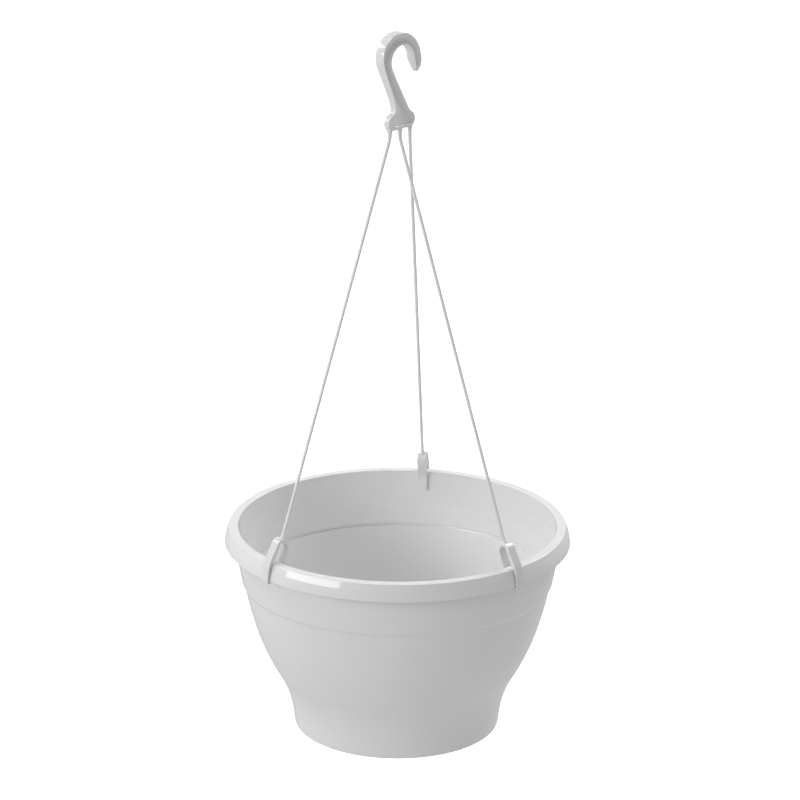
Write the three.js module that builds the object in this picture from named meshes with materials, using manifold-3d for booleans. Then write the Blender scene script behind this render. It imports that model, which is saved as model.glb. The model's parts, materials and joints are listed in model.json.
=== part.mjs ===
// Hanging basket: a round plastic pot held by a moulded hanger, which is a flat hook with three thin
// strands and a clip on the end of each strand. Millimetres, +Z up.
// The origin is the hook's saddle, the point that rests on whatever the basket hangs from.
// +X runs along the hook's foot, through the roots of the three strands.
import * as THREE from 'three';
import { mergeVertices } from 'three/addons/utils/BufferGeometryUtils.js';
import Module from 'manifold-3d';

const wasm = await Module();
wasm.setup();

// ---- driving dimensions ----
const GAP = 0.35; // between pieces that touch

// hook: a plate in the XZ plane, thick at the arch and thinner at the foot and at the tip
const SADDLE_Z = -13.7; // height of the middle of the round opening inside the arch
const HOOK_THICK = 8.6; // at the arch
const FOOT_THICK = 4.6; // at the foot
const TIP_THICK = 3.8;
const TIP_X = 9; // only the arm with the tip reaches further than this
const TIP_Z = -24.6;
const FOOT_X = -0.7; // middle of the foot
const FOOT_HALF = 16.2;
const FOOT_Z = -67; // underside of the foot
const LOBE_R = 5.4; // round ends of the foot
const PLATE_BEVEL = 0.8;

// strands, which bend where they leave the stubs under the foot
const ROOT_PITCH = 12.1;
const PIVOT_Z = -74; // height of the bend
const STRAND_R = 1.35;
const STUB_ROOT_R = 1.9;

// pot, measured down from the top of its rim
const RIM_Z = -396;
const POT_HEIGHT = 170;
const SKIRT_R = 140; // lower edge of the rim's skirt, the widest place
const SKIRT_DROP = 12.9;
const SKIRT_THICK = 1.9;
const RIM_OUT_R = 137.2; // where the rim's flat top turns down into the skirt
const RIM_IN_R = 129.4;
const WALL = 2.2;
const BAND_LOW = 45.3; // lower edge of the plain band under the rim
const STEP_DROP = 1.9;
const FOOT_RING_R = 83.4;
const FOOT_RING_WIDTH = 4.4;
const FOOT_RING_LIFT = 3; // the floor stands this far above what the pot stands on
const DRAIN_R = 4.5;
const DRAIN_CIRCLE_R = 52;
const DRAINS = 6;
const POT_SEGMENTS = 72;

// clips: an upside-down U around the rim, leaning in along its strand
const CLIP_WIDTH = 7.6;
const CLIP_LEAN = THREE.MathUtils.degToRad(27.5);
const CLIP_ARCH = new THREE.Vector2(125.6, 12.4); // arch centre: distance from the pot's axis, height over the rim
const CLIP_OUT_R = 6.8;
const CLIP_IN_R = 4.3;
const CLIP_LEG_DROP = 15.6; // how far the inner leg reaches down inside the pot
const LIP_THICK = 1.6;

// where each clip sits around the rim, in degrees from +X, and which stub its strand hangs from
const LEGS = [
  { name: 'left', angle: 172.8, root: -1 },
  { name: 'right', angle: -97.2, root: 0 },
  { name: 'back', angle: 30.5, root: 1 },
];

const plastic = (colour) =>
  new THREE.MeshStandardMaterial({ color: colour, roughness: 0.35, metalness: 0 });

// ---- solids ----
function toManifold(geometry) {
  const bare = geometry.index ? geometry.clone() : geometry;
  bare.deleteAttribute('normal');
  bare.deleteAttribute('uv');
  const merged = mergeVertices(bare, 1e-4);
  return new wasm.Manifold(new wasm.Mesh({
    numProp: 3,
    vertProperties: new Float32Array(merged.attributes.position.array),
    triVerts: new Uint32Array(merged.index.array),
  }));
}

function toGeometry(manifold) {
  const mesh = manifold.getMesh();
  const geometry = new THREE.BufferGeometry();
  geometry.setAttribute('position', new THREE.BufferAttribute(new Float32Array(mesh.vertProperties), 3));
  geometry.setIndex(new THREE.BufferAttribute(new Uint32Array(mesh.triVerts), 1));
  geometry.computeVertexNormals();
  return geometry;
}

function mesh(name, geometry, colour) {
  const part = new THREE.Mesh(geometry, plastic(colour));
  part.name = name;
  return part;
}

const polar = (centre, radius, angle) =>
  new THREE.Vector2(centre.x + radius * Math.cos(angle), centre.y + radius * Math.sin(angle));

// ---- pot ----
// The outside of the wall, from just under the band's step down to the foot ring.
function bodyCurve() {
  return new THREE.SplineCurve([
    new THREE.Vector2(124.5, -BAND_LOW - STEP_DROP),
    new THREE.Vector2(121.5, -62),
    new THREE.Vector2(116.9, -79),
    new THREE.Vector2(110.9, -96.3),
    new THREE.Vector2(102.4, -114.7),
    new THREE.Vector2(92.8, -132.5),
    new THREE.Vector2(87.0, -148),
    new THREE.Vector2(84.6, -163),
  ]);
}

function potProfile() {
  const floorTop = -POT_HEIGHT + FOOT_RING_LIFT + WALL;
  const bandTopR = RIM_IN_R + WALL;
  const outside = [
    new THREE.Vector2(RIM_IN_R + 1, 0),
    new THREE.Vector2(RIM_OUT_R - 0.8, 0),
    new THREE.Vector2(RIM_OUT_R, -0.7),
    new THREE.Vector2(RIM_OUT_R + 1, -2.8),
    new THREE.Vector2(SKIRT_R - 1, -5.2),
    new THREE.Vector2(SKIRT_R - 0.4, -8.6),
    new THREE.Vector2(SKIRT_R, -SKIRT_DROP),
    new THREE.Vector2(SKIRT_R - SKIRT_THICK, -SKIRT_DROP),
    new THREE.Vector2(RIM_OUT_R - 1.4, -WALL - 0.4),
    new THREE.Vector2(bandTopR, -WALL - 0.4),
    new THREE.Vector2(bandTopR - 0.5, -15),
    new THREE.Vector2(bandTopR - 2.2, -30),
    new THREE.Vector2(126.5, -BAND_LOW),
  ];
  const body = bodyCurve().getPoints(12);
  const ring = [
    new THREE.Vector2(FOOT_RING_R, -POT_HEIGHT),
    new THREE.Vector2(FOOT_RING_R - FOOT_RING_WIDTH, -POT_HEIGHT),
    new THREE.Vector2(FOOT_RING_R - FOOT_RING_WIDTH - 0.8, -POT_HEIGHT + FOOT_RING_LIFT),
    new THREE.Vector2(0, -POT_HEIGHT + FOOT_RING_LIFT),
    new THREE.Vector2(0, floorTop),
    new THREE.Vector2(FOOT_RING_R - WALL - 3, floorTop),
    new THREE.Vector2(FOOT_RING_R - WALL - 0.6, floorTop + 2.4),
  ];
  const inside = body.slice(0, -1).reverse().map((p) => new THREE.Vector2(p.x - WALL, p.y + 0.4));
  const band = [
    new THREE.Vector2(124.2, -BAND_LOW + 0.3),
    new THREE.Vector2(RIM_IN_R - 2.3, -30),
    new THREE.Vector2(RIM_IN_R - 0.5, -15),
    new THREE.Vector2(RIM_IN_R, -1),
    new THREE.Vector2(RIM_IN_R + 1, 0),
  ];
  // LatheGeometry's faces point out when the closed profile runs up the outside
  return [...outside, ...body, ...ring, ...inside, ...band].reverse();
}

function drainHole(index) {
  const angle = (index * 2 * Math.PI) / DRAINS;
  const drill = new THREE.CylinderGeometry(DRAIN_R, DRAIN_R, 20, 20);
  drill.rotateX(Math.PI / 2);
  drill.translate(DRAIN_CIRCLE_R * Math.cos(angle), DRAIN_CIRCLE_R * Math.sin(angle), -POT_HEIGHT);
  return toManifold(drill);
}

function makePot() {
  const shell = new THREE.LatheGeometry(potProfile(), POT_SEGMENTS);
  shell.rotateX(Math.PI / 2); // the lathe turns about Y, and the pot about Z
  let solid = toManifold(shell);
  for (let i = 0; i < DRAINS; i += 1) solid = solid.subtract(drainHole(i));
  const pot = mesh('pot', toGeometry(solid), 0xe9e9ea);
  pot.position.z = RIM_Z;
  return pot;
}

// ---- hook ----
// Outline in (x, z): from the tip round the outside of the arch and down the neck.
function hookOutside() {
  return new THREE.SplineCurve([
    new THREE.Vector2(18.6, TIP_Z + 0.3),
    new THREE.Vector2(20.45, -20.2),
    new THREE.Vector2(20.2, -13.8),
    new THREE.Vector2(17.8, -4.8),
    new THREE.Vector2(12.6, 2.7),
    new THREE.Vector2(4.6, 8),
    new THREE.Vector2(-4.3, 9.75),
    new THREE.Vector2(-13, 8.6),
    new THREE.Vector2(-20.4, 4.2),
    new THREE.Vector2(-24.9, -3.1),
    new THREE.Vector2(-24.9, -12),
    new THREE.Vector2(-21.2, -21.2),
    new THREE.Vector2(-14, -36),
    new THREE.Vector2(-10.1, -45.6),
  ]);
}

// And from the foot up the neck, through the saddle at the origin, to the tip.
function hookInside() {
  return new THREE.SplineCurve([
    new THREE.Vector2(3.4, -46),
    new THREE.Vector2(-3.1, -35.6),
    new THREE.Vector2(-10.9, -23.3),
    new THREE.Vector2(-14.4, -17.5),
    new THREE.Vector2(-15.7, -11.6),
    new THREE.Vector2(-13.9, -6.1),
    new THREE.Vector2(-7.4, -1),
    new THREE.Vector2(0, 0),
    new THREE.Vector2(5.9, -2.1),
    new THREE.Vector2(10.2, -6.8),
    new THREE.Vector2(12.2, SADDLE_Z),
    new THREE.Vector2(14.75, -20),
    new THREE.Vector2(16.8, TIP_Z),
  ]);
}

function hookShape() {
  const half = Math.PI / 2;
  const lobeZ = FOOT_Z + LOBE_R + 0.8;
  const leftLobe = FOOT_X - FOOT_HALF + LOBE_R;
  const rightLobe = FOOT_X + FOOT_HALF - LOBE_R - 0.4;
  const shape = new THREE.Shape(hookOutside().getPoints(48));
  shape.quadraticCurveTo(-7.6, -50.6, -10.6, -54.2); // left waist
  shape.absarc(leftLobe, lobeZ, LOBE_R, half * 1.25, half * 2.75, false);
  shape.lineTo(leftLobe - 1.2, FOOT_Z);
  shape.lineTo(rightLobe + 1.2, FOOT_Z);
  shape.absarc(rightLobe, lobeZ, LOBE_R, -half * 0.75, half * 0.8, false);
  shape.lineTo(7.9, -52.8); // right waist
  for (const point of hookInside().getPoints(48)) shape.lineTo(point.x, point.y);
  shape.closePath();
  return shape;
}

function hookThickness(x, z) {
  if (x > TIP_X && z > TIP_Z - 1) {
    const toTip = THREE.MathUtils.clamp((SADDLE_Z - z) / (SADDLE_Z - TIP_Z), 0, 1);
    return THREE.MathUtils.lerp(HOOK_THICK, TIP_THICK, toTip ** 1.5);
  }
  const down = THREE.MathUtils.clamp((SADDLE_Z - z) / (SADDLE_Z - FOOT_Z), 0, 1);
  return THREE.MathUtils.lerp(HOOK_THICK, FOOT_THICK, down);
}

function hookPlate() {
  const plate = new THREE.ExtrudeGeometry(hookShape(), {
    depth: HOOK_THICK - 2 * PLATE_BEVEL,
    bevelThickness: PLATE_BEVEL,
    bevelSize: PLATE_BEVEL,
    bevelOffset: -PLATE_BEVEL,
    bevelSegments: 2,
    curveSegments: 16,
  });
  plate.translate(0, 0, PLATE_BEVEL - HOOK_THICK / 2);
  plate.rotateX(Math.PI / 2); // outline height becomes Z
  const position = plate.attributes.position;
  for (let i = 0; i < position.count; i += 1) {
    const thickness = hookThickness(position.getX(i), position.getZ(i));
    position.setY(i, (position.getY(i) * thickness) / HOOK_THICK);
  }
  return toManifold(plate);
}

function rootPoint(root) {
  return new THREE.Vector3(FOOT_X + root * ROOT_PITCH, 0, PIVOT_Z);
}

function stub(root) {
  const bottom = PIVOT_Z + STRAND_R + GAP;
  const top = FOOT_Z + 2;
  const cone = new THREE.CylinderGeometry(STUB_ROOT_R, STRAND_R + 0.1, top - bottom, 16);
  cone.rotateX(Math.PI / 2);
  const at = rootPoint(root);
  cone.translate(at.x, at.y, (top + bottom) / 2);
  return toManifold(cone);
}

function makeHook() {
  let solid = hookPlate();
  for (const leg of LEGS) solid = solid.add(stub(leg.root));
  return mesh('hook', toGeometry(solid), 0xd8d8da);
}

// ---- strands and clips ----
function clipDirection(leg) {
  const angle = THREE.MathUtils.degToRad(leg.angle);
  return new THREE.Vector3(Math.cos(angle), Math.sin(angle), 0);
}

function archCentre(leg) {
  return clipDirection(leg).multiplyScalar(CLIP_ARCH.x).setZ(RIM_Z + CLIP_ARCH.y);
}

// A straight rod from the bend under its stub to just above the clip's arch, its upper end round.
function makeStrand(leg) {
  const from = rootPoint(leg.root);
  const along = archCentre(leg).sub(from);
  const length = along.length() - CLIP_OUT_R - GAP;
  const profile = [new THREE.Vector2(0, -length), new THREE.Vector2(STRAND_R, -length)];
  for (let i = 0; i <= 4; i += 1) {
    profile.push(polar(new THREE.Vector2(0, 0), STRAND_R, (i * Math.PI) / 8));
  }
  profile[profile.length - 1].x = 0;
  const strand = mesh(`strand_${leg.name}`, new THREE.LatheGeometry(profile, 12), 0xdedee0);
  strand.position.copy(from);
  strand.quaternion.setFromUnitVectors(new THREE.Vector3(0, -1, 0), along.normalize());
  return strand;
}

// Side view of a clip in (distance from the pot's axis, height over the rim).
function clipShape() {
  const legR = RIM_IN_R - 0.5 - GAP;
  const skirtR = SKIRT_R + GAP;
  const underSkirt = -SKIRT_DROP - GAP;
  const shape = new THREE.Shape();
  shape.moveTo(legR - 2.2, -CLIP_LEG_DROP);
  shape.lineTo(legR - 2, -4.6);
  shape.absarc(CLIP_ARCH.x, CLIP_ARCH.y, CLIP_OUT_R, Math.PI + CLIP_LEAN, CLIP_LEAN, true);
  shape.lineTo(SKIRT_R - 0.2, 2.6);
  shape.lineTo(SKIRT_R + 1.3, -2.4);
  shape.lineTo(SKIRT_R + 2.4, underSkirt);
  shape.lineTo(SKIRT_R + 1.8, underSkirt - LIP_THICK);
  shape.lineTo(SKIRT_R - 2, underSkirt - LIP_THICK);
  shape.lineTo(SKIRT_R - 2.2, underSkirt);
  shape.lineTo(skirtR, underSkirt);
  shape.lineTo(skirtR - 0.35, -8.6);
  shape.lineTo(skirtR - 0.9, -5);
  shape.lineTo(RIM_OUT_R + 1.4, -2.5);
  shape.lineTo(RIM_OUT_R + 0.4, -0.2);
  shape.lineTo(RIM_OUT_R - 0.3, GAP);
  shape.lineTo(RIM_OUT_R - 2.5, GAP);
  shape.absarc(CLIP_ARCH.x, CLIP_ARCH.y, CLIP_IN_R, CLIP_LEAN, Math.PI + CLIP_LEAN, false);
  shape.lineTo(legR, -2.6);
  shape.lineTo(legR - 0.2, -CLIP_LEG_DROP);
  shape.closePath();
  return shape;
}

function makeClip(leg) {
  const strap = new THREE.ExtrudeGeometry(clipShape(), {
    depth: CLIP_WIDTH,
    bevelEnabled: false,
    curveSegments: 12,
  });
  strap.translate(0, 0, -CLIP_WIDTH / 2);
  strap.rotateX(Math.PI / 2); // the side view's height becomes Z
  const clip = mesh(`clip_${leg.name}`, strap, 0xe4e4e6);
  clip.rotation.z = THREE.MathUtils.degToRad(leg.angle);
  clip.position.z = RIM_Z;
  return clip;
}

// ---- the object ----
const basket = new THREE.Group();
basket.add(makeHook());
basket.add(makePot());
for (const leg of LEGS) {
  basket.add(makeStrand(leg));
  basket.add(makeClip(leg));
}

export default basket;
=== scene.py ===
import json
import math

import bmesh
import bpy
import numpy as np
from mathutils import Matrix, Vector


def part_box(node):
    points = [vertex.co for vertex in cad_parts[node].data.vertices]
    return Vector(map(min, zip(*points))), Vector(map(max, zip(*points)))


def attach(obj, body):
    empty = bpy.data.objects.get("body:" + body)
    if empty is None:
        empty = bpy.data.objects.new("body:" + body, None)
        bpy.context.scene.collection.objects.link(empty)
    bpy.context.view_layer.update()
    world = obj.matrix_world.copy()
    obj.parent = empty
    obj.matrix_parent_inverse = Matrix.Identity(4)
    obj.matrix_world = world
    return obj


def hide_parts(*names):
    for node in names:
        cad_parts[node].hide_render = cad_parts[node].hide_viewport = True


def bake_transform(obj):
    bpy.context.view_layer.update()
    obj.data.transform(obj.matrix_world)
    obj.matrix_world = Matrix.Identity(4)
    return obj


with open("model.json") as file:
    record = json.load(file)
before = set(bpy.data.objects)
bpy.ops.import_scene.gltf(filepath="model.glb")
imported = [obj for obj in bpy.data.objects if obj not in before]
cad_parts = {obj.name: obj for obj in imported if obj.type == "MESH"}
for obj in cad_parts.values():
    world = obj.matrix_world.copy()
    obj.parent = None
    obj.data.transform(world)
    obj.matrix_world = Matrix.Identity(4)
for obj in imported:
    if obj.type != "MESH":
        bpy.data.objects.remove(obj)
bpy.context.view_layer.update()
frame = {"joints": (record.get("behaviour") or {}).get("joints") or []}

MM = 0.001  # shapes below are written in millimetres, and meshes are in metres


# ---------------------------------------------------------------- places from the CAD
def joint(name):
    return next(j for j in frame["joints"] if j["name"] == name)


pot_low, pot_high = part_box("pot")
hook_low, hook_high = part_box("hook")
RIM_Z = pot_high.z / MM  # top of the rim
FOOT_Z = pot_low.z / MM
POT_R = pot_high.x / MM  # lower edge of the rim's skirt
PIVOT_Z = joint("sway")["pos_m"][2] / MM
SIDES = ("left", "right", "back")
STRAND_R = 1.35


def clip_angle(side):
    low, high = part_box(f"clip_{side}")
    return math.atan2(low.y + high.y, low.x + high.x)


def strand_root(side):
    """x of the point under the hook's foot where this strand bends."""
    low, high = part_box(f"strand_{side}")
    near = {"left": high.x, "back": low.x}
    if side == "right":
        return (root_x("left") + root_x("back")) / 2
    return near[side] / MM + (-STRAND_R if side == "left" else STRAND_R)


def root_x(side):
    return strand_root(side)


# ---------------------------------------------------------------- camera
def make_camera():
    distance, above_rim = 2600.0, 967.6  # from the pot's axis, and over the rim
    turn = math.radians(40.0)  # the camera looks this far round from +X towards +Y
    pitch, yaw, roll = math.radians(18.339), math.radians(0.026), math.radians(0.396)
    ahead = Vector((math.cos(turn), math.sin(turn), 0))
    right = Vector((math.sin(turn), -math.cos(turn), 0))
    up = Vector((0, 0, 1))
    level = ahead * math.cos(yaw) + right * math.sin(yaw)
    right = right * math.cos(yaw) - ahead * math.sin(yaw)
    forward = level * math.cos(pitch) - up * math.sin(pitch)
    top = level * math.sin(pitch) + up * math.cos(pitch)
    x_axis = right * math.cos(roll) + top * math.sin(roll)
    y_axis = top * math.cos(roll) - right * math.sin(roll)
    data = bpy.data.cameras.new("camera")
    data.sensor_fit = "HORIZONTAL"
    data.sensor_width = 36.0
    data.lens = 154.08
    data.clip_start, data.clip_end = 0.05, 60.0
    camera = bpy.data.objects.new("camera", data)
    bpy.context.scene.collection.objects.link(camera)
    place = (ahead * -distance + up * (RIM_Z + above_rim)) * MM
    rows = Matrix((x_axis, y_axis, -forward)).transposed().to_4x4()
    camera.matrix_world = Matrix.Translation(place) @ rows
    bpy.context.scene.camera = camera
    return ahead, Vector((math.sin(turn), -math.cos(turn), 0))


AHEAD, RIGHT = make_camera()


# ---------------------------------------------------------------- materials
def plastic(name, colour, roughness, grain, wave, flow_axis="Z"):
    """Injection-moulded polypropylene: semi-gloss, faintly mottled, with a very fine skin texture,
    long shallow flow waves, a slightly cloudy body, and painted shade at the bottom of marked hollows."""
    material = bpy.data.materials.new(name)
    material.use_nodes = True
    nodes, links = material.node_tree.nodes, material.node_tree.links
    nodes.clear()
    out = nodes.new("ShaderNodeOutputMaterial")
    bsdf = nodes.new("ShaderNodeBsdfPrincipled")
    links.new(bsdf.outputs["BSDF"], out.inputs["Surface"])
    bsdf.inputs["IOR"].default_value = 1.49
    bsdf.inputs["Metallic"].default_value = 0.0
    bsdf.inputs["Subsurface Weight"].default_value = 0.0
    coords = nodes.new("ShaderNodeTexCoord")

    def noise(scale, detail, stretch=(1, 1, 1)):
        mapping = nodes.new("ShaderNodeMapping")
        mapping.inputs["Scale"].default_value = stretch
        links.new(coords.outputs["Object"], mapping.inputs["Vector"])
        texture = nodes.new("ShaderNodeTexNoise")
        texture.inputs["Scale"].default_value = scale
        texture.inputs["Detail"].default_value = detail
        links.new(mapping.outputs["Vector"], texture.inputs["Vector"])
        return texture.outputs["Fac"]

    def ramp(value, low, high):
        span = nodes.new("ShaderNodeMapRange")
        span.inputs["From Min"].default_value = 0.3
        span.inputs["From Max"].default_value = 0.7
        span.inputs["To Min"].default_value = low
        span.inputs["To Max"].default_value = high
        links.new(value, span.inputs["Value"])
        return span.outputs["Result"]

    # colour: a faint cloudiness a few centimetres across and fine speckle from the pigment
    cloud = noise(22.0, 3.0)
    mix = nodes.new("ShaderNodeMix")
    mix.data_type = "RGBA"
    links.new(ramp(cloud, 0.0, 1.0), mix.inputs["Factor"])
    darker = [c * 0.985 for c in colour]
    mix.inputs["A"].default_value = (*darker, 1)
    mix.inputs["B"].default_value = (*colour, 1)
    speck = nodes.new("ShaderNodeMix")
    speck.data_type = "RGBA"
    speck.blend_type = "MULTIPLY"
    speck.inputs["Factor"].default_value = 1.0
    grey = nodes.new("ShaderNodeCombineColor")
    fleck = ramp(noise(900.0, 2.0), 0.985, 1.0)
    for channel in ("Red", "Green", "Blue"):
        links.new(fleck, grey.inputs[channel])
    links.new(mix.outputs["Result"], speck.inputs["A"])
    links.new(grey.outputs["Color"], speck.inputs["B"])

    # painted shade: a darker base colour at the bottom of moulded hollows, where a piece has any, standing in for the
    # shade that falls there
    hollow = nodes.new("ShaderNodeAttribute")
    hollow.attribute_name = "hollow"
    hollow_shade = nodes.new("ShaderNodeMix")
    hollow_shade.data_type = "RGBA"
    hollow_shade.inputs["B"].default_value = (*[c * 0.84 for c in colour], 1)
    links.new(hollow.outputs["Fac"], hollow_shade.inputs["Factor"])
    links.new(speck.outputs["Result"], hollow_shade.inputs["A"])
    links.new(hollow_shade.outputs["Result"], bsdf.inputs["Base Color"])

    # gloss: patches where the mould was more or less polished
    links.new(ramp(noise(35.0, 4.0), roughness * 0.85, roughness * 1.2), bsdf.inputs["Roughness"])

    # surface: fine skin grain over long shallow waves left by the flow of the plastic
    fine = nodes.new("ShaderNodeBump")
    fine.inputs["Strength"].default_value = grain
    fine.inputs["Distance"].default_value = 0.00004
    links.new(noise(1600.0, 3.0), fine.inputs["Height"])
    stretch = {"Z": (1, 1, 0.25), "": (1, 1, 1)}[flow_axis]
    broad = nodes.new("ShaderNodeBump")
    broad.inputs["Strength"].default_value = wave
    broad.inputs["Distance"].default_value = 0.0006
    links.new(noise(28.0, 1.0, stretch), broad.inputs["Height"])
    links.new(fine.outputs["Normal"], broad.inputs["Normal"])
    links.new(broad.outputs["Normal"], bsdf.inputs["Normal"])
    return material


POT_PLASTIC = plastic("pot_polypropylene", (0.80, 0.80, 0.805), 0.06, 0.06, 0.03)
HANGER_PLASTIC = plastic("hanger_polypropylene", (0.765, 0.765, 0.77), 0.07, 0.06, 0.02, "")


# ---------------------------------------------------------------- mesh helpers
def make_piece(name, verts, faces, material, slot, sharp_degrees=40):
    mesh = bpy.data.meshes.new(name)
    mesh.from_pydata([tuple(v) for v in verts], [], [tuple(f) for f in faces])
    bm = bmesh.new()
    bm.from_mesh(mesh)
    bmesh.ops.remove_doubles(bm, verts=bm.verts, dist=1e-6)
    bmesh.ops.dissolve_degenerate(bm, edges=bm.edges, dist=1e-7)
    bmesh.ops.recalc_face_normals(bm, faces=bm.faces)
    bm.to_mesh(mesh)
    bm.free()
    mesh.transform(Matrix.Scale(MM, 4))
    mesh.polygons.foreach_set("use_smooth", [True] * len(mesh.polygons))
    mesh.set_sharp_from_angle(angle=math.radians(sharp_degrees))
    mesh.materials.append(material)
    piece = bpy.data.objects.new(name, mesh)
    bpy.context.scene.collection.objects.link(piece)
    return piece


def rounded(points, steps=5):
    """A polyline from (x, y) or (x, y, radius) points, with an arc at each corner that has a radius."""
    out = []
    for i, point in enumerate(points):
        here = Vector(point[:2])
        radius = point[2] if len(point) > 2 else 0
        if not radius or i in (0, len(points) - 1):
            out.append(here)
            continue
        back = (Vector(points[i - 1][:2]) - here).normalized()
        on = (Vector(points[i + 1][:2]) - here).normalized()
        half = back.angle(on) / 2
        if half > math.pi / 2 - 0.01:
            out.append(here)
            continue
        reach = radius / math.tan(half)
        centre = here + (back + on).normalized() * (radius / math.sin(half))
        a, b = here + back * reach - centre, here + on * reach - centre
        turn = a.angle_signed(b)
        for k in range(steps + 1):
            out.append(centre + rotated(a, -turn * k / steps))
    return out


def rotated(v, angle):
    c, s = math.cos(angle), math.sin(angle)
    return Vector((v.x * c - v.y * s, v.x * s + v.y * c))


def spline(points, steps):
    """Catmull-Rom curve through the points, with this many steps between each two."""
    pts = [np.array(p, float) for p in points]
    pts = [2 * pts[0] - pts[1]] + pts + [2 * pts[-1] - pts[-2]]
    out = []
    for i in range(1, len(pts) - 2):
        p0, p1, p2, p3 = pts[i - 1:i + 3]
        for k in range(steps):
            t = k / steps
            out.append(0.5 * (2 * p1 + (p2 - p0) * t + (2 * p0 - 5 * p1 + 4 * p2 - p3) * t * t
                              + (3 * p1 - p0 - 3 * p2 + p3) * t ** 3))
    out.append(pts[-2])
    return out


def rings_to_mesh(rings, closed_ring=True, first_cap=True, last_cap=True):
    """Joins rings of equal length with quads. Returns (verts, faces)."""
    n = len(rings[0])
    verts = [p for ring in rings for p in ring]
    faces = []
    for i in range(len(rings) - 1):
        for k in range(n if closed_ring else n - 1):
            a, b = i * n + k, i * n + (k + 1) % n
            faces.append((a, b, b + n, a + n))
    if first_cap:
        faces.append(tuple(range(n)))
    if last_cap:
        faces.append(tuple(range(len(verts) - n, len(verts))))
    return verts, faces


# ---------------------------------------------------------------- pot
SEGMENTS = 288
FLOOR_TOP = 5.2  # heights over the foot
FLOOR_UNDER = 3.0
DRAIN_R, DRAIN_CIRCLE_R, DRAINS = 4.5, 52.0, 6
WALL = 2.2


def body_outside():
    return spline([(124.45, -48.4), (123.2, -54.2), (121.5, -62), (116.9, -79), (110.9, -96.3), (102.4, -114.7),
                   (95.4, -127.0), (90.2, -138.5), (87.0, -149), (85.2, -158), (84.2, -166.4)], 8)


def pot_section():
    """(r, height over the rim) from the edge of the floor's top, up inside, over the rim, down to its underside."""
    foot = FOOT_Z - RIM_Z
    outside = body_outside()
    inside = [(p[0] - WALL, p[1] + 0.35) for p in reversed(outside[:-3])]
    up = [(76.5, foot + FLOOR_TOP), (79.6, foot + FLOOR_TOP, 2.2), (81.6, foot + FLOOR_TOP + 3.2, 2.0)]
    rim = [(122.4, -46.3, 0.4), (124.15, -47.0, 0.2), (124.6, -45.9, 0.3), (124.4, -44.4, 0.8),
           (126.0, -35.0, 9), (127.3, -28.0, 9), (128.6, -15.0, 12), (129.15, -3.0, 6), (129.0, 0.6, 0.6),
           (136.2, 0.6, 0.8), (138.45, -4.9, 6.0), (139.45, -8.8, 12), (140.0, -12.9, 0.4),
           (138.15, -12.9, 0.4), (137.2, -5.6, 6.0), (135.8, -2.7, 1.0), (131.6, -2.7, 0.7), (130.9, -15, 12),
           (129.3, -30.0, 20), (126.4, -45.3, 1.2), (124.9, -47.4, 1.4)]
    down = [(84.2, foot + 3.6), (83.45, foot, 0.9), (79.0, foot, 0.7), (78.2, foot + FLOOR_UNDER, 1.2),
            (75.0, foot + FLOOR_UNDER)]
    rim = rounded([inside[-1], *rim, outside[0]], 6)[1:-1]
    points = rounded([*up, inside[0]], 6)[:-1] + [Vector(p) for p in inside] + rim
    points += [Vector(p) for p in outside] + rounded([outside[-1], *down], 6)[1:]
    return points


def circle(cx, cy, r, n, z):
    return [Vector((cx + r * math.cos(2 * math.pi * k / n), cy + r * math.sin(2 * math.pi * k / n), z))
            for k in range(n)]


def plate(loops):
    """A flat plate inside the first loop and outside the others, as (verts, faces)."""
    bm = bmesh.new()
    for loop in loops:
        verts = [bm.verts.new(p) for p in loop]
        for a, b in zip(verts, verts[1:] + verts[:1]):
            bm.edges.new((a, b))
    bmesh.ops.triangle_fill(bm, use_beauty=True, use_dissolve=False, edges=bm.edges)
    bm.verts.index_update()
    made = [v.co.copy() for v in bm.verts], [tuple(v.index for v in f.verts) for f in bm.faces]
    bm.free()
    return made


def lathe(section, segments):
    rings = [circle(0, 0, p[0], segments, p[1]) for p in section]
    return rings_to_mesh(rings, True, False, False)


def join(parts):
    verts, faces = [], []
    for part_verts, part_faces in parts:
        base = len(verts)
        verts += list(part_verts)
        faces += [tuple(i + base for i in f) for f in part_faces]
    return verts, faces


def make_pot():
    section = [(p[0], p[1] + RIM_Z) for p in pot_section()]
    top, under = section[0][1], section[-1][1]
    parts = [lathe(section, SEGMENTS)]
    soft = 0.5  # rounding of a drain hole's edges
    lip = [(DRAIN_R + soft, top), (DRAIN_R + 0.15, top - 0.15), (DRAIN_R, top - soft),
           (DRAIN_R, under + soft), (DRAIN_R + 0.15, under + 0.15), (DRAIN_R + soft, under)]
    holes_top, holes_under = [], []
    for i in range(DRAINS):
        a = 2 * math.pi * i / DRAINS
        x, y = DRAIN_CIRCLE_R * math.cos(a), DRAIN_CIRCLE_R * math.sin(a)
        rings = [circle(x, y, r, 40, z) for r, z in lip]
        parts.append(rings_to_mesh(rings, True, False, False))
        holes_top.append(rings[0])
        holes_under.append(rings[-1])
    gate = [(9.0, under), (8.6, under + 0.12), (8.3, under + 0.5), (2.0, under + 0.5), (1.7, under + 0.35),
            (1.5, under - 0.2), (1.2, under - 0.35)]  # the shallow dimple and nub where the plastic came in
    nub = lathe(gate, 48)
    parts.append((nub[0], nub[1] + [tuple(range(len(nub[0]) - 48, len(nub[0])))]))
    parts.append(plate([circle(0, 0, section[0][0], SEGMENTS, top), *holes_top]))
    parts.append(plate([circle(0, 0, section[-1][0], SEGMENTS, under), *holes_under,
                        circle(0, 0, gate[0][0], 48, under)]))
    pot = make_piece("pot_moulding", *join(parts), POT_PLASTIC, "pot_white", 30)
    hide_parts("pot")
    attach(pot, "pot")


make_pot()


# ---------------------------------------------------------------- hook
FOOT_UNDER = -67.0
SADDLE_Z, TIP_Z = -13.7, -24.5  # height of the middle of the opening inside the arch, and of the tip
EDGE = 0.45  # rounding of the plate's edges
DISH = 3.0  # greatest depth of the hollow moulded into each face


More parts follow.
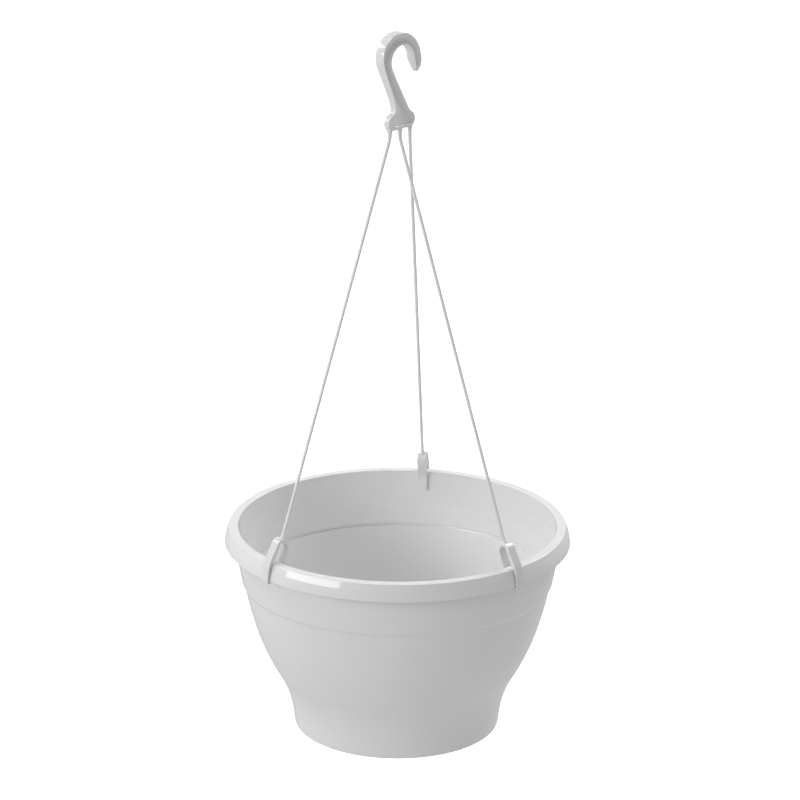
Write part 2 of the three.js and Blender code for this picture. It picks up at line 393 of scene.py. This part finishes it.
def hook_thickness(x, z):
    if x > 9 and z > TIP_Z - 1:
        to_tip = min(1.0, max(0.0, (SADDLE_Z - z) / (SADDLE_Z - TIP_Z)))
        return 8.6 + (3.8 - 8.6) * to_tip ** 1.5
    down = min(1.0, max(0.0, (SADDLE_Z - z) / (SADDLE_Z - FOOT_UNDER)))
    return 8.6 + (4.6 - 8.6) * down


def hook_sides():
    """From the tip round to the foot: where each point of the outer edge and the point of the inner edge
    across from it are, (x, z), and how far across the plate the hollow is deepest."""
    pairs = [((18.6, -24.3), (16.8, -24.6), 0.70), ((19.6, -22.6), (15.8, -22.7), 0.70),
             ((20.45, -20.2), (14.75, -20.0), 0.70), ((20.6, -17.2), (13.5, -17.0), 0.72),
             ((20.2, -13.8), (12.2, -13.8), 0.74), ((19.3, -9.4), (11.5, -10.0), 0.75),
             ((17.8, -4.8), (10.2, -6.8), 0.76), ((15.6, -0.9), (8.3, -4.1), 0.78), ((12.6, 2.7), (5.9, -2.1), 0.80),
             ((8.8, 5.7), (3.3, -0.75), 0.82), ((4.6, 8.0), (0.6, -0.02), 0.84), ((0.2, 9.3), (-2.1, 0.1), 0.85),
             ((-4.3, 9.75), (-4.8, -0.2), 0.85), ((-8.8, 9.6), (-7.4, -1.0), 0.83), ((-13.0, 8.6), (-9.8, -2.2), 0.80),
             ((-16.9, 6.7), (-12.1, -3.9), 0.76), ((-20.4, 4.2), (-13.9, -6.1), 0.70),
             ((-23.2, 0.9), (-15.1, -8.7), 0.62), ((-24.9, -3.1), (-15.7, -11.6), 0.54),
             ((-25.4, -7.6), (-15.5, -14.6), 0.50), ((-24.9, -12.0), (-14.4, -17.5), 0.47),
             ((-23.4, -16.5), (-12.8, -20.2), 0.45), ((-21.2, -21.2), (-10.9, -23.3), 0.43),
             ((-18.8, -26.0), (-8.9, -26.8), 0.42), ((-16.3, -31.1), (-6.1, -31.0), 0.42),
             ((-14.0, -36.0), (-3.1, -35.6), 0.45), ((-11.9, -40.8), (0.2, -40.8), 0.50),
             ((-10.1, -45.6), (3.5, -46.0), 0.56), ((-9.1, -49.0), (5.9, -49.8), 0.64),
             ((-8.9, -51.4), (7.6, -52.2), 0.70), ((-10.2, -53.8), (9.6, -54.0), 0.75),
             ((-13.0, -55.4), (11.8, -55.4), 0.79), ((-15.4, -57.3), (13.8, -57.3), 0.82),
             ((-16.75, -59.9), (14.9, -59.9), 0.83), ((-16.8, -62.2), (15.0, -62.2), 0.84),
             ((-16.0, -64.3), (14.3, -64.3), 0.84), ((-14.4, -66.0), (12.8, -66.0), 0.84),
             ((-12.6, FOOT_UNDER), (11.0, FOOT_UNDER), 0.84)]
    rows = spline([(*outer, *inner, deepest) for outer, inner, deepest in pairs], 8)
    return np.array(rows)


def hook_ring(outer, inner, deepest, shrink, hollow):
    """One cross-section of the plate: rounded edges, and a soft V-shaped hollow in each face."""
    across = inner - outer
    width = np.linalg.norm(across)
    across = across / width
    middle = (outer + inner) / 2
    half = hook_thickness(*middle) / 2
    edge = min(EDGE, width * 0.3)
    face = width - 2 * edge
    depth = min(DISH, half * 0.7, width * 0.33) * hollow
    front = [(edge * (1 - math.cos(a)), half - edge * (1 - math.sin(a))) for a in np.linspace(0, math.pi / 2, 7)]
    for share in np.linspace(0, 1, 31)[1:-1]:
        rise = share / deepest if share < deepest else (1 - share) / (1 - deepest)
        front.append((edge + face * share, half - depth * (1.45 * rise ** 1.3 - 0.45 * rise ** 4)))
    front += [(width - a, y) for a, y in reversed(front[:7])]
    loop = front + [(a, -y) for a, y in reversed(front)]
    ring = []
    for a, y in loop:
        point = outer + across * (shrink + a * (width - 2 * shrink) / width)
        ring.append(Vector((point[0], y * (half - shrink) / half, point[1])))
    return ring


def smooth_step(t):
    t = min(1.0, max(0.0, t))
    return t * t * (3 - 2 * t)


def make_hook():
    sides = hook_sides()
    middles = (sides[:, 0:2] + sides[:, 2:4]) / 2
    run = np.concatenate([[0.0], np.cumsum(np.linalg.norm(np.diff(middles, axis=0), axis=1))])
    total = float(run[-1])
    # closer stations where the hollow starts and ends and where the plate's ends are rounded
    close = [*np.linspace(0, EDGE, 8), *np.linspace(4.0, 6.4, 18), *(total - np.linspace(1.8, 3.4, 14)),
             *(total - np.linspace(0, EDGE, 8))]
    rings = []
    for s in sorted({round(float(v), 4) for v in [*run, *close]}):
        row = [np.interp(s, run, column) for column in sides.T]
        hollow = smooth_step((s - 4.4) / 1.2) * smooth_step((total - 2.2 - s) / 0.8)
        end = min(s, total - s)
        shrink = EDGE - math.sqrt(max(0.0, EDGE ** 2 - (EDGE - end) ** 2)) if end < EDGE else 0.0
        rings.append(hook_ring(np.array(row[0:2]), np.array(row[2:4]), row[4], shrink * 0.95, hollow))
    hook = make_piece("hook_moulding", *rings_to_mesh(rings), HANGER_PLASTIC, "hanger_white", 50)
    # mark where the material paints shade into the hollows: how far each point lies below the plate's face
    hollow = hook.data.attributes.new("hollow", "FLOAT", "POINT")
    for vertex, mark in zip(hook.data.vertices, hollow.data):
        x, y, z = vertex.co / MM
        mark.value = max(0.0, hook_thickness(x, z) / 2 - EDGE - abs(y)) / (DISH - EDGE)
    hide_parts("hook")
    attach(hook, "hook")


make_hook()


# ---------------------------------------------------------------- strands
ARCH = (125.6, 12.4)  # centre of a clip's arch: distance from the pot's axis, height over the rim
ARCH_OUT, ARCH_IN = 6.8, 4.3


def tube(path, radii, sides=20):
    """A round tube along a smooth path that lies in one plane, radius by radius, with flat ends."""
    rings = []
    side = None
    for k, point in enumerate(path):
        before, after = path[max(0, k - 1)], path[min(len(path) - 1, k + 1)]
        along = (after - before).normalized()
        if side is None:
            side = along.cross(Vector((0.3, 0.9, 0.1))).normalized()
        side = (side - along * side.dot(along)).normalized()
        other = along.cross(side)
        rings.append([point + (side * math.cos(2 * math.pi * j / sides) + other * math.sin(2 * math.pi * j / sides))
                      * radii[k] for j in range(sides)])
    return rings_to_mesh(rings)


def make_strand(side):
    angle = clip_angle(side)
    x = root_x(side)
    outward = Vector((math.cos(angle), math.sin(angle), 0))
    arch = outward * ARCH[0] + Vector((0, 0, RIM_Z + ARCH[1]))
    pivot = Vector((x, 0, PIVOT_Z))
    along = (arch - pivot).normalized()
    length = (arch - pivot).length - ARCH_OUT + 1.6
    path, radii = [], []
    # the tapered root that grows out of the hook's foot
    for z, r in ((-65.6, 2.2), (-66.6, 2.2), (-67.0, 2.25), (-67.3, 2.12), (-67.7, 2.02), (-68.4, 1.92),
                 (-69.4, 1.78), (-70.4, 1.64)):
        path.append(Vector((x, 0, z)))
        radii.append(r)
    # the bend, on a quadratic curve from straight down to along the strand
    start, end = Vector((x, 0, -70.8)), pivot + along * 3.6
    for k in range(13):
        t = k / 12
        path.append(start * (1 - t) ** 2 + pivot * 2 * t * (1 - t) + end * t * t)
        radii.append(1.6 + (STRAND_R - 1.6) * smooth_step(t))
    # straight down to the clip, with a small flare where it joins the arch
    for k in range(1, 61):
        path.append(pivot + along * (3.6 + (length - 7.0 - 3.6) * k / 60))
        radii.append(STRAND_R)
    for back, r in ((5.2, 1.36), (3.8, 1.4), (2.8, 1.48), (2.2, 1.6), (1.7, 1.75), (1.2, 1.95), (0.6, 2.0), (0, 2.0)):
        path.append(pivot + along * (length - back))
        radii.append(r)
    strand = make_piece(f"strand_{side}_moulding", *tube(path, radii), HANGER_PLASTIC, "hanger_white", 50)
    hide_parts(f"strand_{side}")
    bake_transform(strand)


for name in SIDES:
    make_strand(name)


# ---------------------------------------------------------------- clips
CLIP_WIDTH = 7.6
LEAN = math.radians(27.5)


def clip_pairs():
    """Pairs of points (r, height over the rim): on the strap's outer side and on the side facing the rim."""
    def arch(radius, degrees):
        a = math.radians(degrees)
        return (ARCH[0] + radius * math.cos(a), ARCH[1] + radius * math.sin(a))

    pairs = [((126.4, -15.5), (128.2, -15.5)), ((126.35, -12.5), (128.3, -12.5)), ((126.4, -8.5), (128.45, -8.5)),
             ((126.45, -5.2), (128.5, -4.4)), ((125.6, -2.3), (128.1, -1.6)), ((123.7, 1.3), (126.1, 2.3)),
             ((121.5, 5.4), (123.9, 6.6)), ((119.8, 8.9), (122.1, 10.1))]
    for k in range(11):
        degrees = 205 - 17.5 * k
        pairs.append((arch(ARCH_OUT, degrees), arch(ARCH_IN, degrees)))
    pairs += [((133.0, 13.0), (130.7, 11.6)), ((135.2, 9.6), (132.7, 7.9)), ((137.4, 6.1), (134.8, 4.5)),
              ((139.3, 2.5), (136.9, 1.4)), ((140.6, -1.6), (138.35, -1.2)), ((141.4, -6.2), (139.75, -5.9)),
              ((142.0, -10.8), (140.35, -11.2)), ((142.1, -12.9), (140.35, -13.25))]
    return pairs


def make_clip(side):
    pairs = clip_pairs()
    outer = spline([p[0] for p in pairs], 6)
    inner = spline([p[1] for p in pairs], 6)
    # the lip that turns in under the skirt's edge
    centre = np.array((140.35, -13.25))
    for k in range(1, 9):
        a = math.radians(6 - 96 * k / 8)
        outer.append(centre + np.array((1.75 * math.cos(a), 1.6 * math.sin(a))))
        inner.append(centre)
    for k in range(1, 6):
        outer.append(np.array((140.35 - 0.45 * k, -14.85)))
        inner.append(np.array((140.35 - 0.45 * k, -13.25)))
    angle = clip_angle(side)
    outward = Vector((math.cos(angle), math.sin(angle), 0))
    sideways = Vector((-math.sin(angle), math.cos(angle), 0))
    up = Vector((0, 0, 1))
    run = [0.0]
    for a, b in zip(outer, outer[1:]):
        run.append(run[-1] + float(np.linalg.norm(b - a)))
    total = run[-1]
    # the dish where the strand joins: the strap's edges stand up as two ears
    where = [math.degrees(math.atan2(o[1] - ARCH[1], o[0] - ARCH[0])) for o in outer]
    rings = []
    for k, (o, i) in enumerate(zip(outer, inner)):
        thick = float(np.linalg.norm(o - i))
        depth = (o - i) / thick
        dish = 0.9 * smooth_step(1 - abs(where[k] - 112) / 48) if o[1] > 5 else 0.0
        edge = min(0.5, thick * 0.3)
        half = CLIP_WIDTH / 2
        end = min(run[k], total - run[k])
        narrow = 0.5 * (1 - math.sqrt(max(0.0, 1 - (1 - end / 0.5) ** 2))) if end < 0.5 else 0.0
        half -= narrow
        top = []
        for j in range(5):
            a = math.pi / 2 * j / 4
            top.append((-half + edge * (1 - math.cos(a)), thick - edge * (1 - math.sin(a))))
        flat = half - edge
        for j in range(1, 12):
            w = -flat + 2 * flat * j / 12
            share = max(0.0, 1 - (abs(w) / (flat - 0.5)) ** 2) if abs(w) < flat - 0.5 else 0.0
            top.append((w, thick - dish * smooth_step(share * 1.4)))
        top += [(-w, t) for w, t in reversed(top[:5])]
        bottom = []
        for j in range(5):
            a = math.pi / 2 * j / 4
            bottom.append((half - edge * (1 - math.cos(a)), edge * (1 - math.sin(a))))
        bottom += [(-w, t) for w, t in reversed(bottom)]
        base = outward * i[0] + up * (RIM_Z + i[1])
        lift = outward * depth[0] + up * depth[1]
        rings.append([base + sideways * w + lift * t for w, t in top + bottom])
    clip = make_piece(f"clip_{side}_moulding", *rings_to_mesh(rings), HANGER_PLASTIC, "hanger_white", 50)
    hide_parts(f"clip_{side}")
    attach(clip, "sling")


for name in SIDES:
    make_clip(name)


# ---------------------------------------------------------------- studio
def make_studio():
    floor_z = FOOT_Z * MM - 0.25
    mesh = bpy.data.meshes.new("floor")
    reach = 14.0
    mesh.from_pydata([(-reach, -reach, floor_z), (reach, -reach, floor_z), (reach, reach, floor_z),
                      (-reach, reach, floor_z)], [], [(0, 1, 2, 3)])
    floor = bpy.data.objects.new("floor", mesh)
    bpy.context.scene.collection.objects.link(floor)
    white = bpy.data.materials.new("floor_white")
    white.use_nodes = True
    bsdf = white.node_tree.nodes["Principled BSDF"]
    bsdf.inputs["Base Color"].default_value = (0.9, 0.9, 0.9, 1)
    bsdf.inputs["Roughness"].default_value = 0.9
    bsdf.inputs["Specular IOR Level"].default_value = 0.0
    bsdf.inputs["Emission Color"].default_value = (1, 1, 1, 1)
    bsdf.inputs["Emission Strength"].default_value = 0.8
    mesh.materials.append(white)
    # the floor is far below what hangs over it, so it neither lights nor mirrors in the object
    floor.visible_diffuse = floor.visible_glossy = False

    # a curved wall that carries the floor's white up behind the object, seen by the camera only
    wall = [(reach - 4 * math.cos(a), floor_z + 4 * (1 - math.sin(a))) for a in np.linspace(math.pi / 2, 0, 13)]
    wall.append((reach, floor_z + 14.0))
    verts, faces = lathe(wall, 96)
    backdrop_mesh = bpy.data.meshes.new("backdrop")
    backdrop_mesh.from_pydata(verts, [], faces)
    backdrop_mesh.materials.append(white)
    backdrop = bpy.data.objects.new("backdrop", backdrop_mesh)
    bpy.context.scene.collection.objects.link(backdrop)
    backdrop.visible_diffuse = backdrop.visible_glossy = backdrop.visible_shadow = False

    world = bpy.data.worlds.new("studio")
    world.use_nodes = True
    nodes, links = world.node_tree.nodes, world.node_tree.links
    background = nodes["Background"]
    background.inputs["Color"].default_value = (1, 1, 1, 1)
    # a pale studio: bright below, dimmer above, and a soft change at the horizon
    coords = nodes.new("ShaderNodeTexCoord")
    split = nodes.new("ShaderNodeSeparateXYZ")
    links.new(coords.outputs["Generated"], split.inputs["Vector"])
    level = nodes.new("ShaderNodeMapRange")
    level.interpolation_type = "SMOOTHSTEP"
    level.inputs["From Min"].default_value = -0.5
    level.inputs["From Max"].default_value = 0.5
    level.inputs["To Min"].default_value = 0.62
    level.inputs["To Max"].default_value = 0.46
    links.new(split.outputs["Z"], level.inputs["Value"])
    links.new(level.outputs["Result"], background.inputs["Strength"])
    bpy.context.scene.world = world

    def softbox(name, azimuth, elevation, distance, width, height, radiance):
        """Azimuth is degrees to the left of the camera as seen from the object."""
        a, e = math.radians(azimuth), math.radians(elevation)
        flat = -AHEAD * math.cos(a) - RIGHT * math.sin(a)
        direction = flat * math.cos(e) + Vector((0, 0, 1)) * math.sin(e)
        data = bpy.data.lights.new(name, "AREA")
        data.shape = "RECTANGLE"
        data.size, data.size_y = width, height
        data.energy = radiance * math.pi * width * height
        light = bpy.data.objects.new(name, data)
        target = Vector((0, 0, (RIM_Z + 20) * MM))
        light.location = target + direction * distance
        light.rotation_mode = "QUATERNION"
        light.rotation_quaternion = (-direction).to_track_quat("-Z", "Y")
        bpy.context.scene.collection.objects.link(light)

    softbox("key_left", 57, 18, 1.9, 1.25, 0.5, 5.8)
    softbox("back_left", 103, 43.5, 2.0, 0.8, 0.6, 6.4)
    softbox("back_right", -142, 42, 2.0, 1.2, 0.75, 6.8)
    softbox("back_high", 180, 68, 2.2, 1.6, 0.35, 3.5)


make_studio()

scene = bpy.context.scene
scene.view_settings.view_transform = "Standard"
scene.view_settings.look = "None"
scene.view_settings.exposure = 0.0
scene.view_settings.gamma = 1.0
